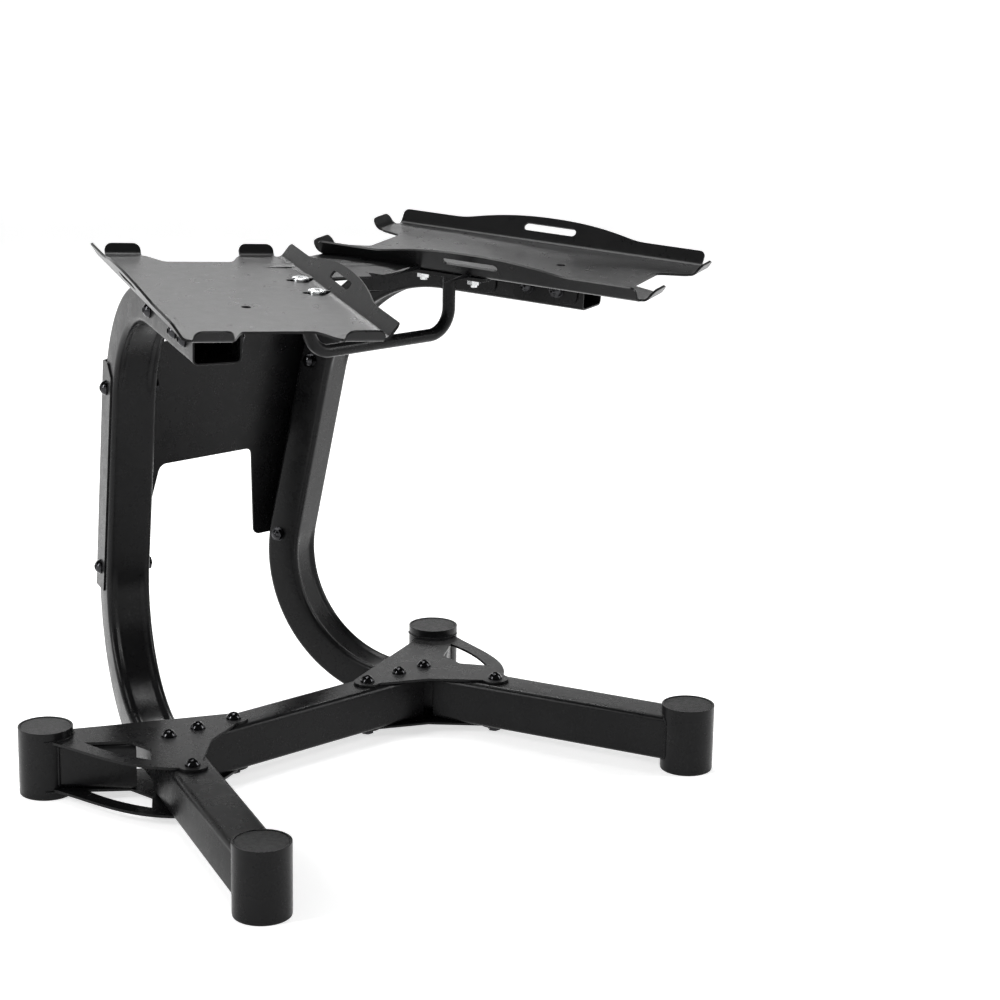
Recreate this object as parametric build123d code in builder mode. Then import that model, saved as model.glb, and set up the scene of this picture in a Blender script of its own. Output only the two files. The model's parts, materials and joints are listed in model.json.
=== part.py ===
"""Floor stand for a pair of adjustable dumbbells.

Two C-shaped tube uprights rise from a splayed tube base, a sheet-metal shield ties them at the back, and each
arm carries one sheet-steel tray. A round link bar joins the trays at the front. Millimetres, +Z up, the user
stands at -Y, and the stand is mirrored about the YZ plane. The origin is on the floor, at the centre of the
stand's outline. The pieces of the right side (+X) are modelled, and the left ones are their mirror images.
"""

import os
from math import cos, radians, sin, sqrt, tan

from build123d import *

# ---------------------------------------------------------------------------------------------------------
# Driving dimensions
# ---------------------------------------------------------------------------------------------------------

crossbar_y = 75.406        # centreline of the base crossbar
node_x = 187.0             # where an upright's plane crosses the crossbar's centreline
splay = 20.6               # turn of each upright, arm and front leg away from straight forward

wall = 2.0                 # every tube's wall
base_low, base_high = 13.0, 64.5   # underside and top of the base tubes
leg_w, stub_w, crossbar_w = 50.0, 48.0, 44.0
base_corner = 6.0

post_d, post_h, post_wall = 60.0, 77.0, 2.5
front_post_s = 340.0       # front post's distance along the leg, from the crossbar's centreline
rear_post_x, rear_post_dy = 285.0, 93.0
plug_t, plug_skirt_h, plug_skirt_wall, cap_set_in = 2.0, 14.0, 2.0, 0.6

gusset_t, gusset_tab_r = 3.0, 16.0
hole_gap = 0.4             # radial clearance of a bolt in its hole

upright_w, upright_d, upright_corner = 50.0, 40.0, 6.0
tail_front, tail_z, bend_start_s = 25.0, 42.0, -36.0
lower_bend_r, upright_lean, straight_l = 147.6, 11.7, 204.7
upper_bend_r, arm_slope, arm_l = 163.0, -2.8, 178.8
channel_w, channel_depth = 34.0, 3.0

shield_t, shield_top, shield_arch = 2.0, 459.0, 16.0
shield_bottom, flange_bottom, flange_w, flange_round = 206.0, 186.0, 33.0, 14.0
window_top, window_half_top, window_half_low, window_corner = 321.0, 66.0, 86.0, 10.0

tray_t = 2.5
tray_x, tray_dy, tray_z = 191.5, -135.0, 575.0      # centre of the tray floor's top, dy from the crossbar
tray_splay, tray_slope, tray_tilt = 22.7, -3.3, 2.5  # turn, fall towards the front, rise of the outer side
tray_fold_half_w, tray_lip_half_l, tray_recess_half_l = 98.5, 193.0, 158.0
tray_recess_half_in, tray_recess_half_out = 40.0, 54.0
flange_lean, flange_low_h, flange_arch_h = 35.0, 18.5, 32.0
flange_arch_rear, flange_arch_front = -108.0, 104.0
lip_h, lip_lean, lip_corner = 13.5, 35.0, 8.0
handle_slot_l, handle_slot_w, handle_slot_h = 64.0, 9.0, 18.0
drain_hole_r, drain_hole_u, drain_hole_v = 5.0, 56.0, 5.0

link_bar_d, link_bar_bend_r, link_bar_low = 14.0, 28.0, 503.0
tab_u, tab_v, tab_l, tab_w, tab_t = -37.0, -86.0, 98.0, 30.0, 4.0
tray_bolt_pitch, tray_slot_l = 60.0, 24.0

bolt_r, head_r, head_h = 4.0, 8.0, 5.5
socket_r, socket_depth = 2.9, 3.0
pan_r, pan_h, cross_l, cross_w, cross_depth = 9.5, 3.4, 8.0, 1.6, 1.8
washer_r, washer_t = 8.5, 1.5
nut_flats, nut_h, nut_dome_r, nut_dome_h = 13.0, 5.0, 5.6, 2.2

crossbar_bolt_x = (98.3, 147.7)
node_bolt_s = (0.0, 95.0)
saddle_bolt_s = (45.0, 140.0, 176.0)
shield_bolt_z = (212.0, 430.0)
shield_bolt_set_back = 5.0

# ---------------------------------------------------------------------------------------------------------
# Frames of the right side
# ---------------------------------------------------------------------------------------------------------

forward = Vector(sin(radians(splay)), -cos(radians(splay)), 0)
outward = Vector(cos(radians(splay)), sin(radians(splay)), 0)
node = Vector(node_x, crossbar_y, 0)


def side_point(s, off, z):
    """A point from its distance forward along the leg, outward from the upright's plane, and height."""
    return node + forward * s + outward * off + Vector(0, 0, z)


def side_plane(off):
    """The upright's plane, shifted outward: x runs forward, y runs up, and it faces the middle."""
    return Plane(origin=side_point(0, off, 0), x_dir=forward, z_dir=-outward)


arm_dir = forward * cos(radians(arm_slope)) + Vector(0, 0, sin(radians(arm_slope)))
tray_dir = Vector(0, -cos(radians(tray_slope)), sin(radians(tray_slope))).rotate(Axis.Z, tray_splay)
tray_across = Vector(cos(radians(tray_tilt)), 0, sin(radians(tray_tilt))).rotate(Axis.Z, tray_splay)
tray_across = (tray_across - tray_dir * tray_across.dot(tray_dir)).normalized()
tray_up = tray_dir.cross(tray_across)
tray_centre = Vector(tray_x, crossbar_y + tray_dy, tray_z)


def tray_point(u, v, w):
    """A point from its place along the tray, across it (outward) and above its floor."""
    return tray_centre + tray_dir * u + tray_across * v + tray_up * w


# The C-shaped centreline in the upright's plane, as points (distance forward, height).
lean = radians(upright_lean)
lower_bend_end = (bend_start_s - lower_bend_r * cos(lean), tail_z + lower_bend_r * (1 + sin(lean)))
straight_end = (lower_bend_end[0] + straight_l * sin(lean), lower_bend_end[1] + straight_l * cos(lean))
upper_bend_centre = (straight_end[0] + upper_bend_r * cos(lean), straight_end[1] - upper_bend_r * sin(lean))
arm_start = (upper_bend_centre[0] - upper_bend_r * sin(radians(arm_slope)),
             upper_bend_centre[1] + upper_bend_r * cos(radians(arm_slope)))


def arm_height(s):
    """Height of the arm's centreline at a distance forward."""
    return arm_start[1] + (s - arm_start[0]) * tan(radians(arm_slope))


def straight_s(z):
    """Distance forward of the straight stretch's centreline at a height."""
    return lower_bend_end[0] + (z - lower_bend_end[1]) * tan(lean)


# ---------------------------------------------------------------------------------------------------------
# Fasteners
# ---------------------------------------------------------------------------------------------------------


def place_on(point, axis):
    """Where a fastener sits: its seat at the point, and its head on the axis's side."""
    return Plane(origin=point, z_dir=axis).location


def dome_bolt(grip):
    """A button-head bolt: head above its seat at z = 0, shank below it."""
    dome_r = (head_r**2 + head_h**2) / (2 * head_h)
    with BuildPart() as bolt:
        with BuildSketch(Plane.XZ):
            with BuildLine():
                RadiusArc((head_r, 0), (0, head_h), -dome_r)
                Polyline((0, head_h), (0, -grip), (bolt_r, -grip), (bolt_r, 0), (head_r, 0))
            make_face()
        revolve(axis=Axis.Z)
        with BuildSketch(Plane.XY.offset(head_h)):
            RegularPolygon(radius=socket_r, side_count=6)
        extrude(amount=-socket_depth, mode=Mode.SUBTRACT)
    return bolt.part


def washer():
    """A flat washer that stands on z = 0."""
    with BuildPart() as ring:
        Cylinder(washer_r, washer_t, align=(Align.CENTER, Align.CENTER, Align.MIN))
        Cylinder(bolt_r + hole_gap, 3 * washer_t, mode=Mode.SUBTRACT)
    return ring.part


def dome_nut():
    """A hexagon nut with a closed dome, on a seat at z = 0 and pointing along +Z."""
    dome_r = (nut_dome_r**2 + nut_dome_h**2) / (2 * nut_dome_h)
    with BuildPart() as nut:
        with BuildSketch():
            RegularPolygon(radius=nut_flats / 2, side_count=6, major_radius=False)
        extrude(amount=nut_h)
        with BuildSketch(Plane.XZ):
            with BuildLine():
                RadiusArc((nut_dome_r, nut_h), (0, nut_h + nut_dome_h), -dome_r)
                Polyline((0, nut_h + nut_dome_h), (0, nut_h - 1), (nut_dome_r, nut_h - 1), (nut_dome_r, nut_h))
            make_face()
        revolve(axis=Axis.Z)
        Cylinder(bolt_r, nut_h, align=(Align.CENTER, Align.CENTER, Align.MIN), mode=Mode.SUBTRACT)
    return nut.part


def plain_nut():
    """A hexagon nut on a seat at z = 0."""
    with BuildPart() as nut:
        with BuildSketch():
            RegularPolygon(radius=nut_flats / 2, side_count=6, major_radius=False)
            Circle(bolt_r, mode=Mode.SUBTRACT)
        extrude(amount=nut_h)
    return nut.part


def pan_bolt(grip):
    """A flat pan-head bolt with a cross recess: head above its seat at z = 0, shank below it."""
    with BuildPart() as bolt:
        Cylinder(pan_r, pan_h, align=(Align.CENTER, Align.CENTER, Align.MIN))
        fillet(bolt.edges().group_by(Axis.Z)[-1], pan_h / 2)
        Cylinder(bolt_r, grip, align=(Align.CENTER, Align.CENTER, Align.MAX))
        with BuildSketch(Plane.XY.offset(pan_h)):
            Rectangle(cross_l, cross_w)
            Rectangle(cross_w, cross_l)
        extrude(amount=-cross_depth, mode=Mode.SUBTRACT)
    return bolt.part


def group(piece, places):
    """Copies of one fastener at the right side's places and at their mirror images, as separate solids."""
    with BuildPart() as copies:
        for place in places:
            add(piece.moved(place))
        mirror(about=Plane.YZ)
    return copies


# ---------------------------------------------------------------------------------------------------------
# Base
# ---------------------------------------------------------------------------------------------------------

base_mid = (base_low + base_high) / 2
base_h = base_high - base_low
tail_half = upright_w / 2
node_gap, stub_gap = 0.5, 14.0
front_post = side_point(front_post_s, 0, 0)
rear_post = Vector(rear_post_x, crossbar_y + rear_post_dy, 0)
base_bolt_points = [Vector(x, crossbar_y, 0) for x in crossbar_bolt_x]
base_bolt_points += [side_point(s, 0, 0) for s in node_bolt_s]


def drill_base_holes(points):
    """Vertical bolt holes through whatever is being built."""
    for point in points:
        with Locations(Plane(origin=point + Vector(0, 0, base_mid)).location):
            Cylinder(bolt_r + hole_gap, 2 * base_h, mode=Mode.SUBTRACT)


with BuildPart() as base_crossbar:
    with BuildSketch(Plane(origin=(0, crossbar_y, base_mid), x_dir=(0, 1, 0), z_dir=(1, 0, 0))):
        RectangleRounded(crossbar_w, base_h, base_corner)
        RectangleRounded(crossbar_w - 2 * wall, base_h - 2 * wall, base_corner - wall, mode=Mode.SUBTRACT)
    extrude(amount=node_x, both=True)
    mitre = side_plane(-tail_half - node_gap)
    split(bisect_by=mitre, keep=Keep.TOP)
    split(bisect_by=Plane(origin=(-mitre.origin.X, mitre.origin.Y, 0), z_dir=(outward.X, -outward.Y, 0)),
          keep=Keep.TOP)
    drill_base_holes([Vector(side * x, crossbar_y, 0) for x in crossbar_bolt_x for side in (-1, 1)])

with BuildPart() as front_leg_right:
    leg_start = tail_front + 2 * node_gap
    with BuildSketch(Plane(origin=side_point(leg_start, 0, base_mid), x_dir=outward, z_dir=forward)):
        RectangleRounded(leg_w, base_h, base_corner)
        RectangleRounded(leg_w - 2 * wall, base_h - 2 * wall, base_corner - wall, mode=Mode.SUBTRACT)
    extrude(amount=front_post_s - leg_start)
    with Locations(front_post):
        Cylinder(post_d / 2, 3 * post_h, mode=Mode.SUBTRACT)
    drill_base_holes([side_point(node_bolt_s[1], 0, 0)])

stub_dir = (rear_post - node).normalized()
stub_len = (rear_post - node).length
with BuildPart() as rear_stub_right:
    with BuildSketch(Plane(origin=node + Vector(0, 0, base_mid), x_dir=(0, 0, 1), z_dir=stub_dir)):
        RectangleRounded(base_h, stub_w, base_corner)
        RectangleRounded(base_h - 2 * wall, stub_w - 2 * wall, base_corner - wall, mode=Mode.SUBTRACT)
    extrude(amount=stub_len)
    split(bisect_by=side_plane(tail_half + stub_gap), keep=Keep.BOTTOM)
    with Locations(rear_post):
        Cylinder(post_d / 2, 3 * post_h, mode=Mode.SUBTRACT)


def post_tube(centre):
    """A short round post: a plain tube that stands on its foot plug."""
    with BuildPart() as post:
        with Locations(centre + Vector(0, 0, plug_t)):
            Cylinder(post_d / 2, post_h - plug_t, align=(Align.CENTER, Align.CENTER, Align.MIN))
            Cylinder(post_d / 2 - post_wall, post_h, align=(Align.CENTER, Align.CENTER, Align.MIN),
                     mode=Mode.SUBTRACT)
    return post


def post_plug(centre, disc_r, seat_z, upward):
    """A plastic plug of a post's end: a disc with its seat at a height, and a skirt inside the tube."""
    skirt_r = post_d / 2 - post_wall
    with BuildPart(Plane(origin=centre + Vector(0, 0, seat_z), z_dir=(0, 0, 1 if upward else -1))) as plug:
        Cylinder(disc_r, plug_t, align=(Align.CENTER, Align.CENTER, Align.MIN))
        fillet(plug.edges().filter_by(GeomType.CIRCLE).sort_by(Axis.Z)[-1 if upward else 0], 0.9)
        with Locations((0, 0, 0)):
            Cylinder(skirt_r, plug_skirt_h, align=(Align.CENTER, Align.CENTER, Align.MAX))
            Cylinder(skirt_r - plug_skirt_wall, plug_skirt_h, align=(Align.CENTER, Align.CENTER, Align.MAX),
                     mode=Mode.SUBTRACT)
    return plug


posts, caps, feet = {}, {}, {}
for name, centre in (("front", front_post), ("rear", rear_post)):
    posts[name] = post_tube(centre)
    caps[name] = post_plug(centre, post_d / 2 - post_wall, post_h - cap_set_in - plug_t, True)
    feet[name] = post_plug(centre, post_d / 2 - 0.4, plug_t, False)


def gusset_plate(low):
    """One node plate: wraps the rear post, covers the stub, and reaches round the crossbar's and leg's bolts."""
    inner_bolt = (crossbar_bolt_x[0], crossbar_y)
    leg_bolt = side_point(node_bolt_s[1], 0, 0)
    tab_r = gusset_tab_r
    with BuildPart() as plate:
        with BuildSketch(Plane.XY.offset(low)):
            with BuildLine():
                rear_edge = Polyline((rear_post.X, rear_post.Y + 8), (rear_post.X - 57, rear_post.Y - 18),
                                     (inner_bolt[0] - 8, inner_bolt[1] + tab_r - 2))
                ThreePointArc(rear_edge @ 1, (inner_bolt[0] - tab_r, inner_bolt[1] - 2),
                              (inner_bolt[0] + 6, inner_bolt[1] - tab_r + 1))
                front_edge = Polyline((inner_bolt[0] + 6, inner_bolt[1] - tab_r + 1),
                                      (node_x - 28, crossbar_y - 40), (leg_bolt.X - tab_r, leg_bolt.Y + 4))
                ThreePointArc(front_edge @ 1, (leg_bolt.X + 3, leg_bolt.Y - tab_r),
                              (leg_bolt.X + tab_r, leg_bolt.Y + 2))
                rim = Spline((leg_bolt.X + tab_r, leg_bolt.Y + 2), (node_x + 87, crossbar_y - 28),
                             (node_x + 98, crossbar_y + 18), (rear_post.X + 12, rear_post.Y - 22))
                Line(rim @ 1, rear_edge @ 0)
            make_face()
            with BuildLine():
                Polyline((node_x + 82, crossbar_y + 42), (node_x + 43, crossbar_y + 13),
                         (node_x + 39, crossbar_y - 22), (node_x + 58, crossbar_y - 48))
                Spline((node_x + 58, crossbar_y - 48), (node_x + 73, crossbar_y - 12),
                       (node_x + 82, crossbar_y + 42))
            make_face(mode=Mode.SUBTRACT)
            with Locations((rear_post.X, rear_post.Y)):
                Circle(post_d / 2, mode=Mode.SUBTRACT)
            with Locations(*[(point.X, point.Y) for point in base_bolt_points]):
                Circle(bolt_r + hole_gap, mode=Mode.SUBTRACT)
        extrude(amount=gusset_t)
    return plate


gusset_top_right = gusset_plate(base_high)
gusset_bottom_right = gusset_plate(base_low - gusset_t)

base_top = base_high + gusset_t
base_under = base_low - gusset_t
base_grip = base_top - base_under + 2 * washer_t + nut_h
base_bolt_seats = [place_on(p + Vector(0, 0, base_top + washer_t), (0, 0, 1)) for p in base_bolt_points]
base_washer_seats = [place_on(p + Vector(0, 0, base_top), (0, 0, 1)) for p in base_bolt_points]
base_washer_seats += [place_on(p + Vector(0, 0, base_under), (0, 0, -1)) for p in base_bolt_points]
base_nut_seats = [place_on(p + Vector(0, 0, base_under - washer_t), (0, 0, -1)) for p in base_bolt_points]

# ---------------------------------------------------------------------------------------------------------
# Uprights
# ---------------------------------------------------------------------------------------------------------


def upright_section(start, heading, pressed):
    """The tube's section at a point of the centreline; its inner wall has a pressed channel in the bends."""
    origin = side_point(start[0], 0, start[1])
    ahead = forward * cos(radians(heading)) + Vector(0, 0, sin(radians(heading)))
    with BuildSketch(Plane(origin=origin, x_dir=outward, z_dir=ahead)) as section:
        RectangleRounded(upright_w, upright_d, upright_corner)
        RectangleRounded(upright_w - 2 * wall, upright_d - 2 * wall, upright_corner - wall, mode=Mode.SUBTRACT)
        if pressed:
            with Locations((0, (upright_d - channel_depth - wall) / 2)):
                Rectangle(channel_w + 2 * wall, channel_depth + wall)
            with Locations((0, (upright_d - channel_depth) / 2)):
                Rectangle(channel_w, channel_depth, mode=Mode.SUBTRACT)
    return section.sketch


def bend_axis(centre):
    """The axis that a bend turns about, across the upright's plane."""
    return Axis(side_point(centre[0], 0, centre[1]), outward)


tail_l = tail_front - bend_start_s
upper_turn = 90 - upright_lean - arm_slope
with BuildPart() as upright_right:
    extrude(upright_section((tail_front, tail_z), 180, False), amount=tail_l)
    revolve(upright_section((bend_start_s, tail_z), 180, True),
            axis=bend_axis((bend_start_s, tail_z + lower_bend_r)), revolution_arc=90 + upright_lean)
    extrude(upright_section(lower_bend_end, 90 - upright_lean, False), amount=straight_l)
    revolve(upright_section(straight_end, 90 - upright_lean, True),
            axis=bend_axis(upper_bend_centre), revolution_arc=upper_turn)
    extrude(upright_section(arm_start, arm_slope, False), amount=arm_l)
    drill_base_holes([side_point(node_bolt_s[0], 0, 0)])
    for z in shield_bolt_z:
        with Locations(place_on(side_point(straight_s(z) - shield_bolt_set_back, 0, z), outward)):
            Cylinder(bolt_r + hole_gap, 2 * upright_w, mode=Mode.SUBTRACT)
    for s in saddle_bolt_s:
        with Locations(place_on(side_point(s, 0, arm_height(s)), outward)):
            Cylinder(bolt_r + hole_gap, 2 * upright_w, mode=Mode.SUBTRACT)

# ---------------------------------------------------------------------------------------------------------
# Back shield
# ---------------------------------------------------------------------------------------------------------

shield_ref_z = 320.0
shield_ref_s = straight_s(shield_ref_z) - upright_d / 2 / cos(lean)
fold_ref = side_point(shield_ref_s, upright_w / 2, shield_ref_z)
shield_fall = tan(lean) * cos(radians(splay))        # forward run of the shield's plane per unit of height
fold_spread = tan(lean) * sin(radians(splay))        # outward run of its folds per unit of height
up_shield = Vector(0, -shield_fall, 1).normalized()
shield_plane = Plane(origin=(0, fold_ref.Y + shield_fall * shield_ref_z, 0), x_dir=(-1, 0, 0),
                     z_dir=Vector(-1, 0, 0).cross(up_shield))
slope_l = sqrt(1 + shield_fall**2)                   # length up the shield per unit of height


def back_s(z):
    """Distance forward of the shield's front face, where it lies against the upright, at a height."""
    return straight_s(z) - (upright_d / 2 + shield_t / 2) / cos(lean)


def fold_x(z):
    """Where the shield folds round the upright's outer rear corner, at a height."""
    return fold_ref.X + fold_spread * (z - shield_ref_z) + shield_t / 2


with BuildPart() as back_shield:
    with BuildSketch(shield_plane):
        with BuildLine():
            top_left = (-fold_x(shield_top), shield_top * slope_l)
            top_right = (fold_x(shield_top), shield_top * slope_l)
            ThreePointArc(top_left, (0, (shield_top + shield_arch) * slope_l), top_right)
            Polyline(top_right, (fold_x(shield_bottom), shield_bottom * slope_l),
                     (window_half_low, shield_bottom * slope_l), (window_half_top, window_top * slope_l),
                     (-window_half_top, window_top * slope_l), (-window_half_low, shield_bottom * slope_l),
                     (-fold_x(shield_bottom), shield_bottom * slope_l), top_left)
        shield_face = make_face()
        fillet(shield_face.vertices().filter_by(lambda v: abs(v.X) < fold_ref.X - 40), window_corner)
    extrude(amount=shield_t)
    with BuildSketch(side_plane(upright_w / 2 + shield_t)):
        with BuildLine():
            Polyline((back_s(flange_bottom), flange_bottom), (back_s(flange_bottom) + flange_w, flange_bottom),
                     (back_s(shield_top) + flange_w, shield_top - flange_round),
                     (back_s(shield_top) + flange_w - flange_round, shield_top),
                     (back_s(shield_top), shield_top), (back_s(flange_bottom), flange_bottom))
        make_face()
    extrude(amount=shield_t)
    for z in shield_bolt_z:
        with Locations(place_on(side_point(straight_s(z) - shield_bolt_set_back, 0, z), outward)):
            Cylinder(bolt_r + hole_gap, 2 * upright_w, mode=Mode.SUBTRACT)
    split(bisect_by=Plane.YZ, keep=Keep.TOP)
    mirror(about=Plane.YZ)

# ---------------------------------------------------------------------------------------------------------
# Trays, their brackets and the link bar
# ---------------------------------------------------------------------------------------------------------

tray_plane = Plane(origin=tray_centre, x_dir=tray_dir, z_dir=tray_up)   # its y runs outward, along tray_across
tray_bolt_u = (tab_u - tray_bolt_pitch / 2, tab_u + tray_bolt_pitch / 2)
flange_end = tray_lip_half_l - 6


def tray_floor():
    """The flat floor: its short sides step back between the corner lips."""
    x_lip, x_in = tray_lip_half_l, tray_recess_half_l
    y_side, y_out, y_in = tray_fold_half_w, tray_recess_half_out, tray_recess_half_in
    with BuildPart() as floor:
        with BuildSketch():
            with BuildLine():
                Polyline((0, y_side), (flange_end, y_side), (x_lip, y_side - 6), (x_lip, y_out), (x_in, y_in),
                         (x_in, 0))
                mirror(about=Plane.XZ)
                mirror(about=Plane.YZ)
            make_face()
            with Locations((drain_hole_u, drain_hole_v)):
                Circle(drain_hole_r, mode=Mode.SUBTRACT)
            with Locations(*[(u, tab_v + 3) for u in tray_bolt_u]):
                SlotOverall(tray_slot_l, 2 * (bolt_r + hole_gap), rotation=90, mode=Mode.SUBTRACT)
        extrude(amount=-tray_t)
    return floor.part


def tray_flange(side):
    """A long side's upturned flange, leaning out, with a low arch in the middle and a long slot in the arch."""
    rise = Vector(0, side * sin(radians(flange_lean)), cos(radians(flange_lean)))
    arch_mid = (flange_arch_rear + flange_arch_front) / 2
    shoulder, shoulder_h = 30.0, flange_arch_h - 6
    with BuildPart() as flange:
        with BuildSketch(Plane(origin=(0, side * tray_fold_half_w, 0), x_dir=(1, 0, 0),
                               z_dir=Vector(1, 0, 0).cross(rise))):
            with BuildLine():
                Polyline((flange_arch_rear, flange_low_h), (4 - flange_end, flange_low_h),
                         (-flange_end, flange_low_h - 4), (-flange_end, -tray_t), (flange_end, -tray_t),
                         (flange_end, flange_low_h - 4), (flange_end - 4, flange_low_h),
                         (flange_arch_front, flange_low_h))
                Spline((flange_arch_front, flange_low_h), (flange_arch_front - shoulder, shoulder_h),
                       (arch_mid, flange_arch_h), (flange_arch_rear + shoulder, shoulder_h),
                       (flange_arch_rear, flange_low_h))
            make_face()
            with Locations((arch_mid, handle_slot_h)):
                SlotOverall(handle_slot_l, handle_slot_w, mode=Mode.SUBTRACT)
        extrude(amount=-side * tray_t)
    return flange.part


def tray_lip(end, side):
    """An upturned corner lip of a short side, leaning out, with rounded top corners."""
    lip_w = tray_fold_half_w - 6 - tray_recess_half_out
    rise = Vector(end * sin(radians(lip_lean)), 0, cos(radians(lip_lean)))
    with BuildPart() as lip:
        with BuildSketch(Plane(origin=(end * tray_lip_half_l, side * (tray_recess_half_out + lip_w / 2), 0),
                               x_dir=(0, 1, 0), z_dir=Vector(0, 1, 0).cross(rise))):
            with Locations((0, (lip_h - tray_t) / 2)):
                RectangleRounded(lip_w, lip_h + tray_t, lip_corner - 0.5)
            with Locations((0, (lip_h / 2 - tray_t) / 2)):
                Rectangle(lip_w, lip_h / 2 + tray_t)
        extrude(amount=end * tray_t)
    return lip.part


with BuildPart() as flat_tray:
    add(tray_floor())
    for side in (1, -1):
        add(tray_flange(side))
        for end in (1, -1):
            add(tray_lip(end, side))
    split(bisect_by=Plane.XY.offset(-tray_t), keep=Keep.TOP)

with BuildPart() as tray_right:
    add(flat_tray.part.moved(tray_plane.location))

# The bracket is a channel that stands on the arm and carries the tray; two ears hang down the arm's inner side.
bracket_t = 3.0
bracket_rear, bracket_front, bracket_rise = 30.0, 200.0, 6.0
ear_depth = 16.0


def arm_section_plane(s):
    """The plane across the arm at a distance forward: x runs outward and y up, from the arm's centreline."""
    return Plane(origin=side_point(s, 0, arm_height(s)), x_dir=outward, z_dir=arm_dir)


with BuildPart() as bracket_right:
    half_w, arm_top = upright_w / 2, upright_d / 2
    bracket_l = bracket_front - bracket_rear
    with BuildSketch(arm_section_plane(bracket_rear)):
        with Locations((-bracket_t / 2, arm_top + 10)):
            Rectangle(2 * half_w + bracket_t, 20)
        with Locations((-bracket_t / 2, arm_top + bracket_rise / 2)):
            Rectangle(2 * half_w - bracket_t, bracket_rise, mode=Mode.SUBTRACT)
    extrude(amount=bracket_l)
    for ear_rear, ear_front in ((bracket_rear, 100.0), (122.0, bracket_front)):
        with BuildSketch(side_plane(-half_w)):
            low = arm_height((ear_rear + ear_front) / 2) - ear_depth
            high = low + ear_depth + arm_top + bracket_rise
            with Locations(((ear_rear + ear_front) / 2, (low + high) / 2)):
                RectangleRounded(ear_front - ear_rear, high - low, 9)
            with Locations(((ear_rear + ear_front) / 2, (low + high) / 2 + 10)):
                Rectangle(ear_front - ear_rear, high - low - 20)
        extrude(amount=bracket_t)
    split(bisect_by=Plane(origin=tray_point(0, 0, -tray_t), z_dir=tray_up), keep=Keep.BOTTOM)
    for s in saddle_bolt_s:
        with Locations(place_on(side_point(s, 0, arm_height(s)), outward)):
            Cylinder(bolt_r + hole_gap, 4 * upright_w, mode=Mode.SUBTRACT)

tab_low = -tray_t - tab_t
with BuildPart() as link_tab_right:
    with BuildSketch(tray_plane.offset(-tray_t)):
        with Locations((tab_u, tab_v)):
            RectangleRounded(tab_l, tab_w, 8)
        with Locations(*[(u, tab_v) for u in tray_bolt_u]):
            Circle(bolt_r + hole_gap, mode=Mode.SUBTRACT)
    extrude(amount=-tab_t)

link_leg = tray_point(tab_u, tab_v, tab_low)
with BuildPart() as link_bar:
    with BuildLine():
        bar_run = FilletPolyline((0, link_leg.Y, link_bar_low), (link_leg.X, link_leg.Y, link_bar_low),
                                 (link_leg.X, link_leg.Y, link_leg.Z + link_bar_d), radius=link_bar_bend_r)
    with BuildSketch(Plane(origin=bar_run @ 0, z_dir=bar_run % 0)):
        Circle(link_bar_d / 2)
    sweep()
    split(bisect_by=Plane(origin=link_leg, z_dir=tray_up), keep=Keep.BOTTOM)
    mirror(about=Plane.YZ)

# ---------------------------------------------------------------------------------------------------------
# Fasteners in place
# ---------------------------------------------------------------------------------------------------------

half_w = upright_w / 2
shield_seat = half_w + shield_t
shield_bolt_points = [side_point(straight_s(z) - shield_bolt_set_back, 0, z) for z in shield_bolt_z]
saddle_bolt_points = [side_point(s, 0, arm_height(s)) for s in saddle_bolt_s]
tray_bolt_points = [(u, tab_v) for u in tray_bolt_u]

fasteners = {
    "base_bolts": group(dome_bolt(base_grip), base_bolt_seats),
    "base_washers": group(washer(), base_washer_seats),
    "base_nuts": group(dome_nut(), base_nut_seats),
    "shield_bolts": group(dome_bolt(shield_seat + half_w + 2 * washer_t + nut_h),
                          [place_on(p + outward * (shield_seat + washer_t), outward) for p in shield_bolt_points]),
    "shield_washers": group(washer(), [place_on(p + outward * shield_seat, outward) for p in shield_bolt_points]
                            + [place_on(p - outward * half_w, -outward) for p in shield_bolt_points]),
    "shield_nuts": group(dome_nut(), [place_on(p - outward * (half_w + washer_t), -outward)
                                      for p in shield_bolt_points]),
    "arm_bolts": group(dome_bolt(2 * half_w + bracket_t + 2 * washer_t + nut_h),
                       [place_on(p + outward * (half_w + washer_t), outward) for p in saddle_bolt_points]),
    "arm_washers": group(washer(), [place_on(p + outward * half_w, outward) for p in saddle_bolt_points]
                         + [place_on(p - outward * (half_w + bracket_t), -outward) for p in saddle_bolt_points]),
    "arm_nuts": group(dome_nut(), [place_on(p - outward * (half_w + bracket_t + washer_t), -outward)
                                   for p in saddle_bolt_points]),
    "tray_bolts": group(pan_bolt(tray_t + tab_t + washer_t + nut_h + 3),
                        [place_on(tray_point(u, v, 0), tray_up) for u, v in tray_bolt_points]),
    "tray_washers": group(washer(), [place_on(tray_point(u, v, tab_low), -tray_up) for u, v in tray_bolt_points]),
    "tray_nuts": group(plain_nut(), [place_on(tray_point(u, v, tab_low - washer_t), -tray_up)
                                     for u, v in tray_bolt_points]),
}

# ---------------------------------------------------------------------------------------------------------
# Export
# ---------------------------------------------------------------------------------------------------------

paired = {
    "front_leg": front_leg_right, "rear_stub": rear_stub_right, "upright": upright_right,
    "gusset_top": gusset_top_right, "gusset_bottom": gusset_bottom_right,
    "tray": tray_right, "tray_bracket": bracket_right, "link_tab": link_tab_right,
}
for name in posts:
    paired[name + "_post"] = posts[name]
    paired[name + "_post_cap"] = caps[name]
    paired[name + "_foot_plug"] = feet[name]
single = {"base_crossbar": base_crossbar, "back_shield": back_shield, "link_bar": link_bar, **fasteners}


def save(part, name):
    """Label one finished piece and write it as its own STEP file."""
    part.label = name
    export_step(part, f"parts/{name}.step")


os.makedirs("parts", exist_ok=True)
for name, builder in paired.items():
    save(builder.part, name + "_right")
    save(mirror(builder.part, about=Plane.YZ), name + "_left")
for name, builder in single.items():
    save(builder.part, name)
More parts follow.
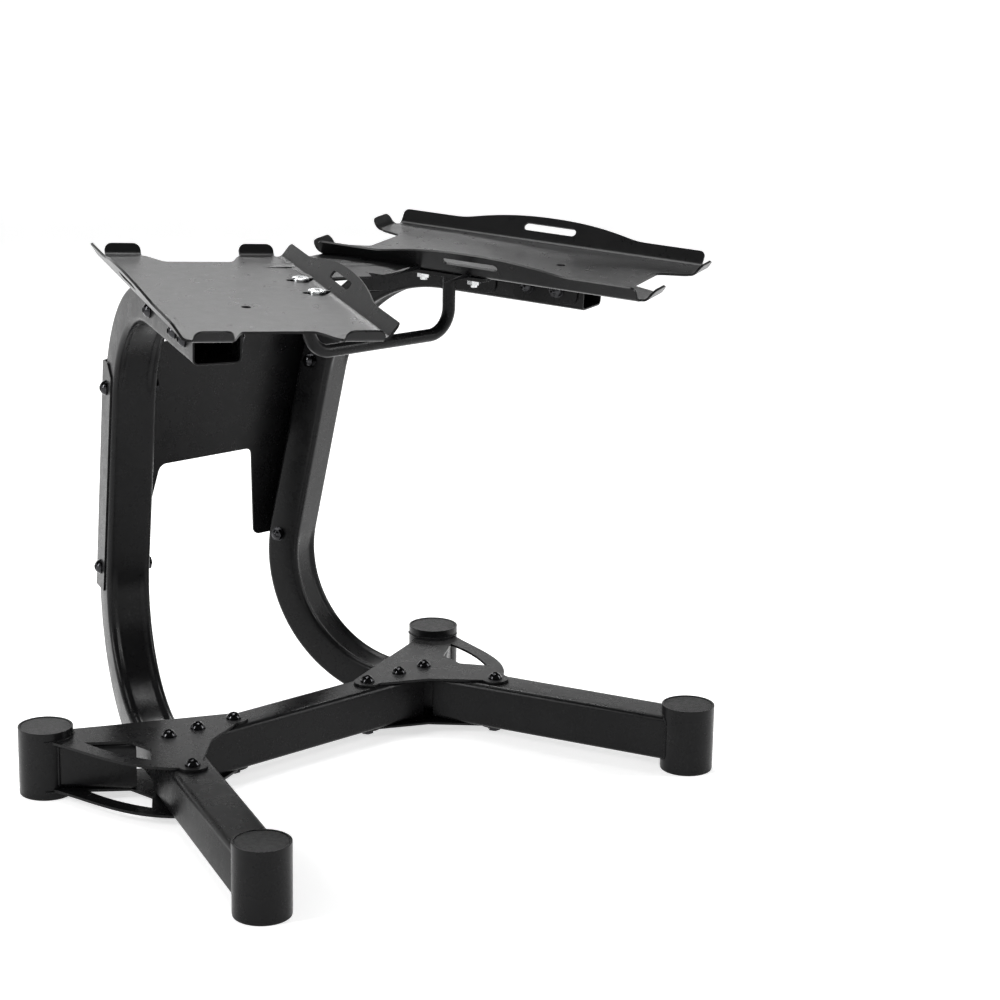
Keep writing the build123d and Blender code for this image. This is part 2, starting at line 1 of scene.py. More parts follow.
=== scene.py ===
"""Looks of the dumbbell stand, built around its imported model.

Metres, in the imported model's frame: +Z up, the floor at z = 0, the stand mirrored about the YZ plane. The
bent tube uprights, the trays and the link bar are rebuilt as smooth meshes, the plates and tubes get rounded
edges and the joints get weld beads. Every piece rides on the one body, root.
"""

import json
from math import atan2, ceil, cos, exp, log, pi, radians, sin, sqrt, tan

import bmesh
import bpy
from mathutils import Matrix, Vector, noise


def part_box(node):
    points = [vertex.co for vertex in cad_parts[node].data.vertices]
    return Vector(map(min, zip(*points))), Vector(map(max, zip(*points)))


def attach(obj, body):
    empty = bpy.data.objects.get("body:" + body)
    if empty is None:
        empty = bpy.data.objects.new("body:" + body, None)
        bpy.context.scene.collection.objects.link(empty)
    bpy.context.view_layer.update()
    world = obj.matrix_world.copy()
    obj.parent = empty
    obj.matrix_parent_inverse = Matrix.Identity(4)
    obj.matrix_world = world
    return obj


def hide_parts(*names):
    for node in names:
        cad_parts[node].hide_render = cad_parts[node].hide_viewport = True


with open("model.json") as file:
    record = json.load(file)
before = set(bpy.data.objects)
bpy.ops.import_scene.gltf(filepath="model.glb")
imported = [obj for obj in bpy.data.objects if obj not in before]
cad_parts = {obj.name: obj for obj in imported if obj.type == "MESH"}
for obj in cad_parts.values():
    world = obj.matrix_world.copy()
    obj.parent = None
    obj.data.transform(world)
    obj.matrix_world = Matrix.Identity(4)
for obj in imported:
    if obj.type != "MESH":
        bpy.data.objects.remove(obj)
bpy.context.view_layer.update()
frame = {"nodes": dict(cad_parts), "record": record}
nodes = frame["nodes"]

# ---------------------------------------------------------------------------------------------------------
# Driving dimensions
# ---------------------------------------------------------------------------------------------------------

mm = 0.001
sides = {"right": 1, "left": -1}

splay = radians(20.6)
crossbar_low, crossbar_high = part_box("base_crossbar")
crossbar_y = (crossbar_low.y + crossbar_high.y) / 2
node_x = 187 * mm

upright_w, upright_d, upright_corner, tube_wall = 50 * mm, 40 * mm, 6 * mm, 2 * mm
tail_front, tail_z, bend_start_s = 25 * mm, 42 * mm, -36 * mm
lower_bend_r, upright_lean, straight_l = 147.6 * mm, radians(11.7), 204.7 * mm
upper_bend_r, arm_slope, arm_l = 163 * mm, radians(-2.8), 178.8 * mm
channel_flat, channel_half, channel_depth = 13.5 * mm, 18 * mm, 3 * mm

tray_t, tray_fold_r = 2.5 * mm, 8 * mm
tray_x, tray_dy, tray_z = 191.5 * mm, -135 * mm, 575 * mm
tray_splay, tray_slope, tray_tilt = radians(22.7), radians(-3.3), radians(2.5)
tray_fold_half_w, tray_lip_half_l, tray_recess_half_l = 98.5 * mm, 193 * mm, 158 * mm
tray_recess_half_in, tray_recess_half_out = 34 * mm, 54 * mm
tray_corner_gap = 6 * mm
flange_lean, flange_low_h, flange_arch_h, flange_corner = radians(35), 18.5 * mm, 32 * mm, 6 * mm
flange_arch_rear, flange_arch_front = -108 * mm, 104 * mm
flange_arch_power, flange_arch_blend = 2.2, 1.2 * mm
lip_h, lip_lean, lip_corner = 13.5 * mm, radians(35), 8 * mm
handle_slot_l, handle_slot_w, handle_slot_h = 64 * mm, 9 * mm, 18 * mm
drain_hole_u, drain_hole_v, drain_hole_r = 56 * mm, 5 * mm, 5 * mm
tab_u, tab_v, tray_bolt_pitch = -37 * mm, -86 * mm, 60 * mm
tray_slot_l, tray_slot_w, tray_slot_shift = 24 * mm, 8.8 * mm, 3 * mm
fold_steps = 7

link_bar_r, link_bar_bend_r, link_bar_low, tab_t = 7 * mm, 28 * mm, 503 * mm, 4 * mm

leg_w, stub_w, base_low, base_high, base_corner = 50 * mm, 48 * mm, 13 * mm, 64.5 * mm, 6 * mm
post_r, gusset_t, front_post_s, rear_post_x, rear_post_dy = 30 * mm, 3 * mm, 340 * mm, 285 * mm, 93 * mm

tube_weld_r, plate_weld_r, bar_weld_r = 1.5 * mm, 1.2 * mm, 1.3 * mm
plate_weld_turn = radians(165)
weld_ripple_pitch, weld_step, weld_ripple, weld_unevenness = 2.4 * mm, 0.6 * mm, 0.10, 0.18

# ---------------------------------------------------------------------------------------------------------
# Frames of the right side
# ---------------------------------------------------------------------------------------------------------

forward = Vector((sin(splay), -cos(splay), 0))
outward = Vector((cos(splay), sin(splay), 0))
node = Vector((node_x, crossbar_y, 0))
up = Vector((0, 0, 1))


def side_point(s, off, z):
    """A point from its distance forward along the leg, outward from the upright's plane, and height."""
    return node + forward * s + outward * off + up * z


front_post = side_point(front_post_s, 0, 0)
rear_post = Vector((rear_post_x, crossbar_y + rear_post_dy, 0))

tray_turn = Matrix.Rotation(tray_splay, 3, "Z")
tray_dir = tray_turn @ Vector((0, -cos(tray_slope), sin(tray_slope)))
tray_across = tray_turn @ Vector((cos(tray_tilt), 0, sin(tray_tilt)))
tray_across = (tray_across - tray_dir * tray_across.dot(tray_dir)).normalized()
tray_up = tray_dir.cross(tray_across)
tray_centre = Vector((tray_x, crossbar_y + tray_dy, tray_z))


def tray_point(u, v, w):
    """A point from its place along the tray, across it (outward) and above its floor."""
    return tray_centre + tray_dir * u + tray_across * v + tray_up * w


# ---------------------------------------------------------------------------------------------------------
# Camera, light and floor
# ---------------------------------------------------------------------------------------------------------

camera_place = Vector((-1.6481, crossbar_y - 2.0480, 0.9864))
camera_yaw, camera_pitch, camera_roll = radians(43.686), radians(14.525), radians(1.074)
camera_sensor, camera_lens, camera_reach = 36, 86.754, 200


def make_camera():
    """The camera, turned by its yaw from +Y towards +X, its pitch down and its roll."""
    ahead = Vector((sin(camera_yaw) * cos(camera_pitch), cos(camera_yaw) * cos(camera_pitch),
                    -sin(camera_pitch)))
    level = Vector((cos(camera_yaw), -sin(camera_yaw), 0))
    above = level.cross(ahead)
    right = level * cos(camera_roll) + above * sin(camera_roll)
    top = above * cos(camera_roll) - level * sin(camera_roll)
    data = bpy.data.cameras.new("camera")
    data.sensor_width = camera_sensor
    data.lens = camera_lens
    data.clip_end = camera_reach
    camera = bpy.data.objects.new("camera", data)
    camera.matrix_world = Matrix((right, top, -ahead)).transposed().to_4x4()
    camera.location = camera_place
    bpy.context.scene.collection.objects.link(camera)
    bpy.context.scene.camera = camera


def area_light(name, place, aim, width, height, power):
    """A soft rectangular light at a place, aimed at a point."""
    data = bpy.data.lights.new(name, "AREA")
    data.shape = "RECTANGLE"
    data.size, data.size_y, data.energy = width, height, power
    light = bpy.data.objects.new(name, data)
    light.location = place
    light.rotation_euler = (Vector(aim) - Vector(place)).to_track_quat("-Z", "Y").to_euler()
    bpy.context.scene.collection.objects.link(light)


def make_light():
    """A dim sky, a soft lamp overhead and narrow soft lamps at the sides and the front."""
    world = bpy.data.worlds.new("studio")
    world.use_nodes = True
    world.node_tree.nodes["Background"].inputs["Color"].default_value = (1, 1, 1, 1)
    world.node_tree.nodes["Background"].inputs["Strength"].default_value = 0.10
    bpy.context.scene.world = world
    area_light("top_lamp", place=(0.2, 0.5, 2.7), aim=(0, 0, 0.3), width=1.2, height=1.2, power=46)
    area_light("back_lamp", place=(1.3, 2.3, 2.2), aim=(0, 0, 0.4), width=1.8, height=0.3, power=34)
    area_light("left_lamp", place=(-2.6, 0.6, 1.5), aim=(0, 0, 0.3), width=0.3, height=1.8, power=48)
    area_light("right_lamp", place=(2.2, -1.9, 1.7), aim=(0, 0, 0.3), width=0.3, height=1.8, power=34)
    bpy.context.scene.view_settings.view_transform = "Standard"


def make_floor():
    """A wide plain pale floor that curves up into a low pale wall all round."""
    floor_r, cove_r, wall_top = 5.0, 1.6, 2.6
    profile = [(0.0, 0.0), (1.5, 0.0), (3.0, 0.0), (floor_r, 0.0)]
    cove_turns = [radians(6 * i) for i in range(1, 16)]
    profile += [(floor_r + cove_r * sin(a), cove_r * (1 - cos(a))) for a in cove_turns]
    profile.append((floor_r + cove_r, wall_top))
    made = bpy.data.materials.new("floor")
    made.use_nodes = True
    shader = made.node_tree.nodes["Principled BSDF"]
    shader.inputs["Base Color"].default_value = (0.8, 0.8, 0.8, 1)
    shader.inputs["Roughness"].default_value = 0.9
    shader.inputs["Specular IOR Level"].default_value = 0.0
    shader.inputs["Emission Color"].default_value = (1, 1, 1, 1)
    shader.inputs["Emission Strength"].default_value = 0.62
    bm = bmesh.new()
    turns = 96
    angles = [2 * pi * i / turns for i in range(turns)]
    rings = [[bm.verts.new((r * cos(a), r * sin(a), z)) for a in angles] for r, z in profile[1:]]
    bm.faces.new(rings[0])
    for here, there in zip(rings, rings[1:]):
        for i in range(turns):
            k = (i + 1) % turns
            bm.faces.new((here[i], there[i], there[k], here[k]))
    mesh = bpy.data.meshes.new("floor")
    bm.to_mesh(mesh)
    bm.free()
    mesh.shade_smooth()
    mesh.materials.append(made)
    floor = bpy.data.objects.new("floor", mesh)
    bpy.context.scene.collection.objects.link(floor)


# ---------------------------------------------------------------------------------------------------------
# Materials
# ---------------------------------------------------------------------------------------------------------


class Surface:
    """A procedural material: a principled shader, with helpers that add its texture nodes."""

    def __init__(self, name):
        self.material = bpy.data.materials.new(name)
        self.material.use_nodes = True
        self.tree = self.material.node_tree
        self.shader = self.tree.nodes["Principled BSDF"]
        self.place = self.tree.nodes.new("ShaderNodeTexCoord").outputs["Object"]

    def set(self, **values):
        """Set the shader's own sockets, named with underscores for spaces."""
        for key, value in values.items():
            self.shader.inputs[key.replace("_", " ")].default_value = value

    def noise(self, scale, detail=3.0, rough=0.5):
        """A noise texture's value."""
        made = self.tree.nodes.new("ShaderNodeTexNoise")
        made.inputs["Scale"].default_value = scale
        made.inputs["Detail"].default_value = detail
        made.inputs["Roughness"].default_value = rough
        self.tree.links.new(self.place, made.inputs["Vector"])
        return made.outputs["Fac"]

    def spread(self, value, low, high, start=0.35, end=0.65):
        """A value remapped from start..end to low..high."""
        made = self.tree.nodes.new("ShaderNodeMapRange")
        for key, number in (("From Min", start), ("From Max", end), ("To Min", low), ("To Max", high)):
            made.inputs[key].default_value = number
        self.tree.links.new(value, made.inputs["Value"])
        return made.outputs["Result"]

    def blend(self, factor, first, second):
        """A colour between two colours."""
        made = self.tree.nodes.new("ShaderNodeMix")
        made.data_type = "RGBA"
        made.inputs[6].default_value = (*first, 1)
        made.inputs[7].default_value = (*second, 1)
        self.tree.links.new(factor, made.inputs[0])
        return made.outputs[2]

    def bump(self, height, depth, strength=1.0, under=None):
        """A bump over a height value, on top of another bump."""
        made = self.tree.nodes.new("ShaderNodeBump")
        made.inputs["Distance"].default_value = depth
        made.inputs["Strength"].default_value = strength
        self.tree.links.new(height, made.inputs["Height"])
        if under is not None:
            self.tree.links.new(under, made.inputs["Normal"])
        return made.outputs["Normal"]

    def link(self, value, socket):
        """Feed one of the shader's sockets."""
        self.tree.links.new(value, self.shader.inputs[socket])


def powder_coat(name, dark, pale, smooth, rough, grain, grain_depth, ripple_depth):
    """Powder coat: slow colour and gloss changes, a fine grain and a soft orange-peel ripple."""
    coat = Surface(name)
    coat.set(Metallic=0.0, IOR=1.5, Specular_IOR_Level=0.14)
    coat.link(coat.blend(coat.spread(coat.noise(26, 5, 0.6), 0, 1), dark, pale), "Base Color")
    coat.link(coat.spread(coat.noise(55, 6, 0.65), smooth, rough), "Roughness")
    ripple = coat.bump(coat.noise(420, 2), ripple_depth)
    coat.link(coat.bump(coat.noise(grain, 3, 0.6), grain_depth, under=ripple), "Normal")
    return coat.material


def plastic(name, dark, pale, roughness):
    """Moulded plastic with a spark-eroded grain."""
    skin = Surface(name)
    skin.set(IOR=1.46, Specular_IOR_Level=0.12)
    skin.link(skin.blend(skin.spread(skin.noise(60, 4), 0, 1), dark, pale), "Base Color")
    skin.link(skin.spread(skin.noise(200, 4), roughness - 0.06, roughness + 0.06), "Roughness")
    skin.link(skin.bump(skin.noise(1900, 3, 0.7), 0.12 * mm), "Normal")
    return skin.material


def plated(name, colour, shade, smooth, rough, scratch):
    """Plated or blackened steel with mottled gloss and fine turning marks."""
    steel = Surface(name)
    steel.set(Metallic=1.0)
    steel.link(steel.blend(steel.spread(steel.noise(300, 5, 0.7), 0, 1), colour, shade), "Base Color")
    steel.link(steel.spread(steel.noise(420, 5, 0.7), smooth, rough), "Roughness")
    steel.link(steel.bump(steel.noise(1400, 4, 0.75), scratch), "Normal")
    return steel.material


materials = {
    "frame_coat": powder_coat("frame_coat", dark=(0.0042, 0.0042, 0.0045), pale=(0.0056, 0.0056, 0.0059),
                              smooth=0.24, rough=0.33, grain=2400, grain_depth=0.02 * mm,
                              ripple_depth=0.03 * mm),
    "tray_coat": powder_coat("tray_coat", dark=(0.0065, 0.0065, 0.0068), pale=(0.0075, 0.0075, 0.0078),
                             smooth=0.27, rough=0.32, grain=1500, grain_depth=0.06 * mm,
                             ripple_depth=0.02 * mm),
    "black_fastener": plated("black_fastener", colour=(0.022, 0.022, 0.024), shade=(0.045, 0.045, 0.047),
                             smooth=0.12, rough=0.2, scratch=0.02 * mm),
    "zinc_fastener": plated("zinc_fastener", colour=(0.72, 0.73, 0.74), shade=(0.55, 0.56, 0.56),
                            smooth=0.16, rough=0.30, scratch=0.03 * mm),
    "post_cap": plastic("post_cap", dark=(0.006, 0.006, 0.0063), pale=(0.008, 0.008, 0.0083),
                        roughness=0.36),
    "foot_plug": plastic("foot_plug", dark=(0.008, 0.008, 0.008), pale=(0.012, 0.012, 0.012),
                         roughness=0.55),
}
slot_of = {part["node"]: part["material_slot"] for part in frame["record"]["subparts"]}

# ---------------------------------------------------------------------------------------------------------
# Making pieces
# ---------------------------------------------------------------------------------------------------------


def add_piece(bm, name, slot, replaced=(), smooth_angle=40):
    """A finished mesh as a piece on the root body, shaded smooth up to an angle."""
    mesh = bpy.data.meshes.new(name)
    bm.to_mesh(mesh)
    bm.free()
    mesh.materials.append(materials[slot])
    piece = bpy.data.objects.new(name, mesh)
    bpy.context.scene.collection.objects.link(piece)
    mesh.shade_smooth()
    mesh.set_sharp_from_angle(angle=radians(smooth_angle))
    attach(piece, "root")
    if replaced:
        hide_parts(*replaced)
    return piece


def mirrored(bm):
    """Mirror a mesh about the YZ plane."""
    bmesh.ops.scale(bm, vec=(-1, 1, 1), verts=bm.verts)
    bmesh.ops.reverse_faces(bm, faces=bm.faces)


def loop_grid(bm, loops, closed):
    """Quads between closed loops of points; closed also joins the last loop to the first."""
    rings = [[bm.verts.new(point) for point in loop] for loop in loops]
    count = len(rings[0])
    last = len(rings) if closed else len(rings) - 1
    for i in range(last):
        here, there = rings[i], rings[(i + 1) % len(rings)]
        for j in range(count):
            k = (j + 1) % count
            bm.faces.new((here[j], here[k], there[k], there[j]))
    return rings


def bevel_edges(piece, width, segments=2, angle=50):
    """Round a piece's edges."""
    bevel = piece.modifiers.new("edges", "BEVEL")
    bevel.width = width
    bevel.segments = segments
    bevel.limit_method = "ANGLE"
    bevel.angle_limit = radians(angle)
    bevel.harden_normals = True
    return bevel


def rounded_copy(name, suffix, width, segments=2, angle=35):
    """A CAD node's shape with its triangles merged into faces and its edges rounded."""
    bm = bmesh.new()
    bm.from_mesh(nodes[name].data)
    bmesh.ops.remove_doubles(bm, verts=bm.verts, dist=0.01 * mm)
    bmesh.ops.dissolve_limit(bm, angle_limit=radians(0.3), verts=bm.verts, edges=bm.edges)
    piece = add_piece(bm, f"{name}_{suffix}", slot_of[name], [name])
    bevel_edges(piece, width, segments, angle)
    return piece


# ---------------------------------------------------------------------------------------------------------
# Uprights
# ---------------------------------------------------------------------------------------------------------


def smooth_step(t):
    """0 below 0, 1 above 1, and a smooth rise between."""
    t = min(max(t, 0), 1)
    return t * t * (3 - 2 * t)


def upright_stations():
    """The centreline as (distance forward, height, heading, depth of the pressed channel)."""
    bend_step = radians(2.5)
    ease = radians(14)
    stations = [(tail_front, tail_z, pi, 0.0), (tail_front - 2 * mm, tail_z, pi, 0.0)]
    heading = pi
    s, z = bend_start_s, tail_z
    for radius, final, after in ((lower_bend_r, pi / 2 - upright_lean, straight_l),
                                 (upper_bend_r, arm_slope, arm_l)):
        centre = (s + radius * sin(heading), z - radius * cos(heading))
        turn = heading - final
        steps = ceil(turn / bend_step)
        for i in range(steps + 1):
            turned = turn * i / steps
            angle = heading - turned
            depth = smooth_step(turned / ease) * smooth_step((turn - turned) / ease)
            bend_s, bend_z = centre[0] - radius * sin(angle), centre[1] + radius * cos(angle)
            stations.append((bend_s, bend_z, angle, depth * channel_depth))
        heading = final
        s, z = stations[-1][0], stations[-1][1]
        for share in (0.25, 0.5, 0.75, 1.0):
            if share < 1 or final == arm_slope:
                run = after * share
                stations.append((s + run * cos(heading), z + run * sin(heading), heading, 0.0))
        s, z = s + after * cos(heading), z + after * sin(heading)
    return stations


def section_points(half_w, half_d, corner, depth):
    """The tube's section: x across, y towards the inside of the bends, where the pressed channel is."""
    points = []
    corner_steps = 7
    for cx, cy, start in ((1, 1, 0), (-1, 1, 90), (-1, -1, 180), (1, -1, 270)):
        for i in range(corner_steps + 1):
            a = radians(start + 90 * i / corner_steps)
            x, y = cx * (half_w - corner) + corner * cos(a), cy * (half_d - corner) + corner * sin(a)
            points.append((x, y))
        if start == 0:
            wall_steps = 16
            for i in range(1, wall_steps):
                x = (half_w - corner) * (1 - 2 * i / wall_steps)
                fall = 1 - smooth_step((abs(x) - channel_flat) / (channel_half - channel_flat))
                points.append((x, half_d - depth * fall))
    return points


def make_upright(side):
    """One C-shaped tube, open at its ends, with a channel pressed into the inner wall of its bends."""
    bm = bmesh.new()
    outer, inner = [], []
    for s, z, heading, depth in upright_stations():
        origin = side_point(s, 0, z)
        inwards = forward * sin(heading) - up * cos(heading)
        for loops, thick in ((outer, 0.0), (inner, tube_wall)):
            half_w, half_d = upright_w / 2 - thick, upright_d / 2 - thick
            points = section_points(half_w, half_d, upright_corner - thick, depth)
            loops.append([origin + outward * x + inwards * y for x, y in points])
    loop_grid(bm, outer + inner[::-1], True)
    bmesh.ops.recalc_face_normals(bm, faces=bm.faces)
    if sides[side] < 0:
        mirrored(bm)
    piece = add_piece(bm, f"upright_tube_{side}", "frame_coat", [f"upright_{side}"])
    bevel_edges(piece, 0.5 * mm, 2, 60)


# ---------------------------------------------------------------------------------------------------------
# Trays
# ---------------------------------------------------------------------------------------------------------


class Sheet:
    """A sheet's top surface in the tray's own coordinates; points that coincide share one vertex."""

    def __init__(self):
        self.bm = bmesh.new()
        self.found = {}

    def vert(self, point):
        """The vertex at a point."""
        key = tuple(round(value * 1e6) for value in point)
        if key not in self.found:
            self.found[key] = self.bm.verts.new(point)
        return self.found[key]

    def face(self, points):
        """A face through points, with coinciding neighbours dropped."""
        corners = []
        for point in points:
            corner = self.vert(point)
            if corner not in corners:
                corners.append(corner)
        if len(corners) > 2:
            self.bm.faces.new(corners)

    def edges(self, points):
        """The closed loop of edges through points."""
        corners = [self.vert(point) for point in points]
        found = []
        for i, here in enumerate(corners):
            there = corners[(i + 1) % len(corners)]
            if here is not there:
                found.append(self.bm.edges.get((here, there)) or self.bm.edges.new((here, there)))
        return found


def fold_up(run, height, lean):
    """(run, rise) of a point of a folded wall; height is measured up the wall from the sharp fold line."""
    turn = pi / 2 - lean
    tangent = tray_fold_r * tan(turn / 2)
    if height < tangent:
        a = turn * (height + tangent) / (2 * tangent)
        return run - tangent + tray_fold_r * sin(a), tray_fold_r * (1 - cos(a))
    return run + height * sin(lean), height * cos(lean)


def fold_heights(lean):
    """Heights of the rows through a fold, from its start in the floor to its end in the wall."""
    tangent = tray_fold_r * tan((pi / 2 - lean) / 2)
    return [tangent * (2 * i / fold_steps - 1) for i in range(fold_steps + 1)]


def round_end(distance, radius):
    """How far an outline with a rounded corner falls, at a distance from its end."""
    if distance >= radius:
        return 0.0
    return radius - sqrt(max(radius**2 - (radius - distance)**2, 0))


def flange_height(u):
    """Height of a long flange's edge along the tray: low at the ends, with one flat arch in the middle."""
    middle, half = (flange_arch_rear + flange_arch_front) / 2, (flange_arch_front - flange_arch_rear) / 2
    over = (flange_arch_h - flange_low_h) * (1 - (abs(u - middle) / half)**flange_arch_power)
    rise = flange_arch_blend * log(1 + exp(min(over / flange_arch_blend, 60)))
    return flange_low_h + rise - round_end(tray_lip_half_l - tray_corner_gap - abs(u), flange_corner)


def spaced(low, high, step):
    """Evenly spaced numbers from low to high."""
    count = max(2, round((high - low) / step))
    return [low + (high - low) * i / count for i in range(count + 1)]


def corner_samples(end, radius, inward):
    """Places through a rounded corner, from its end."""
    return [end + inward * radius * (1 - cos(radians(90 * i / 8))) for i in range(9)]


def flange_stations():
    """Places along a long flange, denser at its corners and at its slot's round ends."""
    end = tray_lip_half_l - tray_corner_gap
    slot_middle = (flange_arch_rear + flange_arch_front) / 2
    places = spaced(-end + flange_corner, end - flange_corner, 4 * mm)
    places += corner_samples(end, flange_corner, -1) + corner_samples(-end, flange_corner, 1)
    for way in (1, -1):
        slot_end = slot_middle + way * handle_slot_l / 2
        places = [p for p in places if not 0 <= way * (slot_end - p) < handle_slot_w / 2 + mm]
        places += corner_samples(slot_end, handle_slot_w / 2, -way)
    return sorted(places)


def slot_half(u):
    """Half the height of a flange's slot at a place along the tray, or 0 beyond its round ends."""
    slot_middle = (flange_arch_rear + flange_arch_front) / 2
    inside = handle_slot_l / 2 - abs(u - slot_middle)
    if inside <= 0:
        return 0.0
    return handle_slot_w / 2 - round_end(inside, handle_slot_w / 2)


def add_flange(sheet, side):
    """A long side's upturned flange with its slot, and the fold line that it shares with the floor."""
    rows = fold_heights(flange_lean)
    columns, fold_line = [], []
    for u in flange_stations():
        height = flange_height(u)
        opening = slot_half(u)
        middle = handle_slot_h if opening else 0.6 * height
        levels = [min(row, height) for row in rows] + [middle - opening, middle + opening, height]
        runs = [fold_up(tray_fold_half_w, level, flange_lean) for level in levels]
        columns.append(([(u, side * run, rise) for run, rise in runs], opening))
        fold_line.append(columns[-1][0][0])
    slot_row = len(rows)
    for (here, open_here), (there, open_there) in zip(columns, columns[1:]):
        for row in range(len(here) - 1):
            if row == slot_row and (open_here or open_there):
                continue
            sheet.face((here[row], there[row], there[row + 1], here[row + 1]))
    return fold_line


def add_lip(sheet, end, side):
    """An upturned corner lip of a short side, and the fold line that it shares with the floor."""
    low, high = tray_recess_half_out, tray_fold_half_w - tray_corner_gap
    places = sorted(corner_samples(low, lip_corner, 1) + corner_samples(high, lip_corner, -1)
                    + spaced(low + lip_corner, high - lip_corner, 4 * mm)[1:-1])
    rows = fold_heights(lip_lean)
    columns = []
    for v in places:
        height = lip_h - round_end(min(v - low, high - v), lip_corner)
        levels = rows + [rows[-1] + (height - rows[-1]) * share for share in (0.5, 1.0)]
        runs = [fold_up(tray_lip_half_l, level, lip_lean) for level in levels]
        columns.append([(end * run, side * v, rise) for run, rise in runs])
    for here, there in zip(columns, columns[1:]):
        for row in range(len(here) - 1):
            sheet.face((here[row], there[row], there[row + 1], here[row + 1]))
    return [column[0] for column in columns]


def recess_edge(end):
    """The curved edge of a short side between its two lips, from -v to +v."""
    start = tray_lip_half_l - tray_fold_r * tan((pi / 2 - lip_lean) / 2)
    points = []
    for v in spaced(-tray_recess_half_out, tray_recess_half_out, 2.5 * mm)[1:-1]:
        share = smooth_step((abs(v) - tray_recess_half_in) / (tray_recess_half_out - tray_recess_half_in))
        points.append((end * (tray_recess_half_l + (start - tray_recess_half_l) * share), v, 0.0))
    return points


def slot_outline(u, v, length, width):
    """A slot across the tray's floor, with round ends."""
    radius, steps = width / 2, 10
    points = []
    for i in range(steps + 1):
        a = pi * i / steps
        points.append((u + radius * cos(a), v + length / 2 - radius + radius * sin(a), 0.0))
    for i in range(steps + 1):
        a = pi + pi * i / steps
        points.append((u + radius * cos(a), v - length / 2 + radius + radius * sin(a), 0.0))
    return points


def make_tray(side):
    """One tray: a flat floor, two slotted flanges and four corner lips, all bent from one sheet."""
    sheet = Sheet()
    fold_lines = {way: add_flange(sheet, way) for way in (1, -1)}
    lips = {(end, way): add_lip(sheet, end, way) for end in (1, -1) for way in (1, -1)}
    outline = fold_lines[-1] + lips[1, -1][::-1] + recess_edge(1) + lips[1, 1]
    outline += fold_lines[1][::-1] + lips[-1, 1][::-1] + recess_edge(-1)[::-1] + lips[-1, -1]
    edges = sheet.edges(outline)
    for u in (tab_u - tray_bolt_pitch / 2, tab_u + tray_bolt_pitch / 2):
        edges += sheet.edges(slot_outline(u, tab_v + tray_slot_shift, tray_slot_l, tray_slot_w))
    turns = [2 * pi * i / 24 for i in range(24)]
    edges += sheet.edges([(drain_hole_u + drain_hole_r * cos(a), drain_hole_v + drain_hole_r * sin(a), 0.0)
                          for a in turns])
    bm = sheet.bm
    bmesh.ops.triangle_fill(bm, use_beauty=True, edges=edges, normal=(0, 0, 1))
    bmesh.ops.recalc_face_normals(bm, faces=bm.faces)
    if sum(face.normal.z * face.calc_area() for face in bm.faces) < 0:
        bmesh.ops.reverse_faces(bm, faces=bm.faces)
    for vert in bm.verts:
        vert.co = tray_point(*vert.co)
    if sides[side] < 0:
        mirrored(bm)
    piece = add_piece(bm, f"tray_sheet_{side}", "tray_coat", [f"tray_{side}"], 50)
    thick = piece.modifiers.new("thickness", "SOLIDIFY")
    thick.thickness = tray_t
    thick.offset = -1
    thick.use_even_offset = True
    bevel_edges(piece, 0.6 * mm, 3, 60)


# ---------------------------------------------------------------------------------------------------------
# Link bar and weld beads
# ---------------------------------------------------------------------------------------------------------


def tube_along(bm, path, radii, closed, around=16):
    """A round tube through the points of a path, with a radius at each; an open one gets flat ends."""
    count = len(path)
    rings = []
    across = None
    for i, here in enumerate(path):
        before = path[i - 1] if closed or i else here
        after = path[(i + 1) % count] if closed or i < count - 1 else here
        along = (after - before).normalized()
        if across is None:
            across = along.orthogonal()
        across = (across - along * across.dot(along)).normalized()
        beside = along.cross(across)
        turns = [2 * pi * k / around for k in range(around)]
        rings.append([bm.verts.new(here + (across * cos(a) + beside * sin(a)) * radii[i]) for a in turns])
    for i in range(count if closed else count - 1):
        here, there = rings[i], rings[(i + 1) % count]
        shift = 0
        if closed and i == count - 1:
            gaps = [(here[0].co - there[k].co).length for k in range(around)]
            shift = gaps.index(min(gaps))
        for k in range(around):
            near, far = k, (k + 1) % around
            over_near, over_far = there[(near + shift) % around], there[(far + shift) % around]
            bm.faces.new((here[near], here[far], over_far, over_near))
    if not closed:
        bm.faces.new(rings[0][::-1])
        bm.faces.new(rings[-1])


def link_bar_path():
    """Half of the bar's centreline, from its top end under the right tray to the middle."""
    top = tray_point(tab_u, tab_v, -tray_t - tab_t / 2)
    bend = Vector((top.x - link_bar_bend_r, top.y, link_bar_low + link_bar_bend_r))
    points = [top, top.lerp(Vector((top.x, top.y, bend.z)), 0.5)]
    for i in range(19):
        a = radians(5 * i)
        points.append(bend + Vector((cos(a), 0, -sin(a))) * link_bar_bend_r)
    points += [Vector((points[-1].x * share, top.y, link_bar_low)) for share in (0.66, 0.33)]
    return points


def make_link_bar():
    """The round U-shaped bar between the trays."""
    half = link_bar_path()
    middle = Vector((0, half[0].y, link_bar_low))
    path = half + [middle] + [Vector((-p.x, p.y, p.z)) for p in half[::-1]]
    bm = bmesh.new()
    tube_along(bm, path, [link_bar_r] * len(path), False, 40)
    add_piece(bm, "link_bar_rod", "frame_coat", ["link_bar"])


